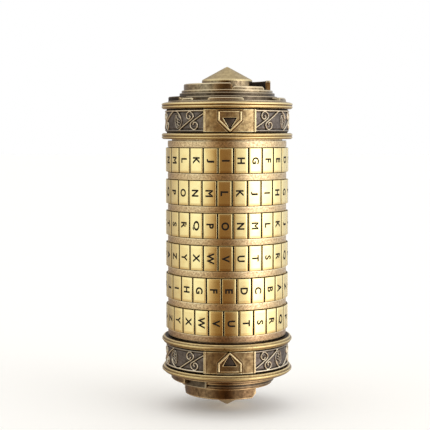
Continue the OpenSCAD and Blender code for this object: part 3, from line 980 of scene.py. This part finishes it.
INNER = {"sleeve": TUBE, "base_plug": TUBE, "vault_tube": TUBE, "vault_plug": TUBE,
         "retaining_clip": STEEL, "base_screws": STEEL, "top_screws": STEEL,
         **{f"code_ring_{k}": CODE for k in range(1, DIALS + 1)},
         **{f"lock_tooth_{k}": STEEL for k in range(1, DIALS + 1)}}
for node, material in INNER.items():
    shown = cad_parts[node]
    shown.data.materials.clear()
    shown.data.materials.append(material)


# ------------------------------------------------------------------ camera, floor and light

LENS = 97.4                  # millimetres, on a sensor 36 mm wide
CAMERA_TURN = -1.95          # azimuth of the camera
CAMERA_PITCH = 4.03          # degrees down from level
CAMERA_AWAY, CAMERA_ASIDE, CAMERA_ABOVE = 513.8, -5.32, 46.0


def camera():
    """The camera stands a little left of the pointers and above the middle, as in the photo."""
    data = bpy.data.cameras.new("camera")
    data.sensor_width = 36
    data.lens = LENS
    data.clip_start = 0.01
    data.clip_end = 20
    obj = bpy.data.objects.new("camera", data)
    turn = math.radians(CAMERA_TURN)
    away, aside = CAMERA_AWAY * MM, CAMERA_ASIDE * MM
    obj.location = (away * math.sin(turn) + aside * math.cos(turn),
                    -away * math.cos(turn) + aside * math.sin(turn), CAMERA_ABOVE * MM)
    obj.rotation_euler = Euler((math.radians(90 - CAMERA_PITCH), 0, turn))
    bpy.context.scene.collection.objects.link(obj)
    bpy.context.scene.camera = obj


FLOOR_HALF = 6.0             # metres from the middle of the floor to its sides
FLOOR_GAP = 0.0004           # metres under the lower tip


def floor():
    """Plain pale floor under the lower tip."""
    mesh = bpy.data.meshes.new("floor")
    h = FLOOR_HALF
    z = cad_box[0][2] - FLOOR_GAP
    mesh.from_pydata([(-h, -h, z), (h, -h, z), (h, h, z), (-h, h, z)], [], [(0, 1, 2, 3)])
    n = Nodes("floor_white")
    n.put(n.shader.inputs["Emission Color"], (1, 1, 1, 1))
    n.put(n.shader.inputs["Emission Strength"], 0.08)
    mesh.materials.append(n.finish((0.93, 0.93, 0.925, 1), 0.9, 0.0))
    obj = bpy.data.objects.new("floor", mesh)
    obj.visible_glossy = False
    bpy.context.scene.collection.objects.link(obj)


# Colour of the studio by azimuth: a dark brown gap over the camera, a strong window to the right, a
# broad soft one to the left and a dimmer back
STUDIO = [(-180, (0.62, 0.60, 0.58)), (-144, (0.42, 0.38, 0.36)), (-116, (0.72, 0.66, 0.58)),
          (-88, (1.06, 1.06, 0.96)), (-60, (1.20, 1.28, 1.24)), (-44, (1.05, 1.04, 0.90)),
          (-33, (0.76, 0.60, 0.42)), (-25, (0.33, 0.21, 0.09)), (-10, (0.25, 0.14, 0.06)),
          (7, (0.25, 0.14, 0.06)), (15, (0.70, 0.60, 0.45)), (21, (0.98, 0.97, 0.92)),
          (32, (1.12, 1.10, 1.04)), (48, (3.2, 3.2, 3.2)), (80, (2.2, 2.2, 2.1)),
          (106, (1.14, 1.16, 1.15)), (134, (0.92, 0.94, 0.96)), (180, (0.62, 0.60, 0.58))]
PEAK = 3.2                   # brightest value of the studio
CEILING = (1.05, 1.03, 1.0)
BELOW = (0.58, 0.42, 0.29)


def studio():
    """Surrounding light. What the camera sees of it directly is plain and pale."""
    world = bpy.data.worlds.new("studio")
    world.use_nodes = True
    bpy.context.scene.world = world
    tree = world.node_tree
    tree.nodes.clear()

    def node(kind, *sources, **values):
        """A new node with these settings and, in order, these inputs."""
        made = tree.nodes.new(kind)
        for key, value in values.items():
            setattr(made, key, value)
        for socket, source in zip(made.inputs, sources):
            if isinstance(source, bpy.types.NodeSocket):
                tree.links.new(source, socket)
            else:
                socket.default_value = source
        return made

    def mix(factor, a, b, blend="MIX"):
        """Colour a where the factor is 0, the constant colour b where it is 1."""
        made = node("ShaderNodeMix", data_type="RGBA", blend_type=blend)
        tree.links.new(factor, made.inputs["Factor"])
        tree.links.new(a, made.inputs[6])
        made.inputs[7].default_value = (*b, 1)
        return made.outputs[2]

    def scaled(colour):
        """A ramp holds no value over 1, so the colours are stored as parts of the peak."""
        return tuple(c / PEAK for c in colour)

    where = node("ShaderNodeTexCoord").outputs["Generated"]
    parts = node("ShaderNodeSeparateXYZ", where).outputs
    back = node("ShaderNodeMath", parts[1], -1.0, operation="MULTIPLY").outputs[0]
    azimuth = node("ShaderNodeMath", parts[0], back, operation="ARCTAN2").outputs[0]
    share = node("ShaderNodeMapRange", azimuth, -math.pi, math.pi, 0.0, 1.0).outputs[0]
    ramp = node("ShaderNodeValToRGB", share)
    fill_ramp(ramp, [((a + 180) / 360, scaled(colour)) for a, colour in STUDIO])
    # High up the windows end and a soft pale ceiling takes over
    height = node("ShaderNodeMapRange", parts[2], 0.35, 0.8, 0.0, 1.0).outputs[0]
    room = mix(height, ramp.outputs["Color"], scaled(CEILING))
    # Below the horizon the room is darker and browner
    depth = node("ShaderNodeMapRange", parts[2], -0.06, -0.34, 0.0, 0.75).outputs[0]
    lit = node("ShaderNodeBackground", mix(depth, room, BELOW, "MULTIPLY"), PEAK)
    pale = node("ShaderNodeBackground", (1.0, 1.0, 1.0, 1), 1.0)
    seen = node("ShaderNodeLightPath").outputs["Is Camera Ray"]
    both = node("ShaderNodeMixShader", seen, lit.outputs[0], pale.outputs[0])
    node("ShaderNodeOutputWorld", both.outputs[0])


camera()
floor()
studio()
bpy.context.scene.view_settings.view_transform = "Standard"
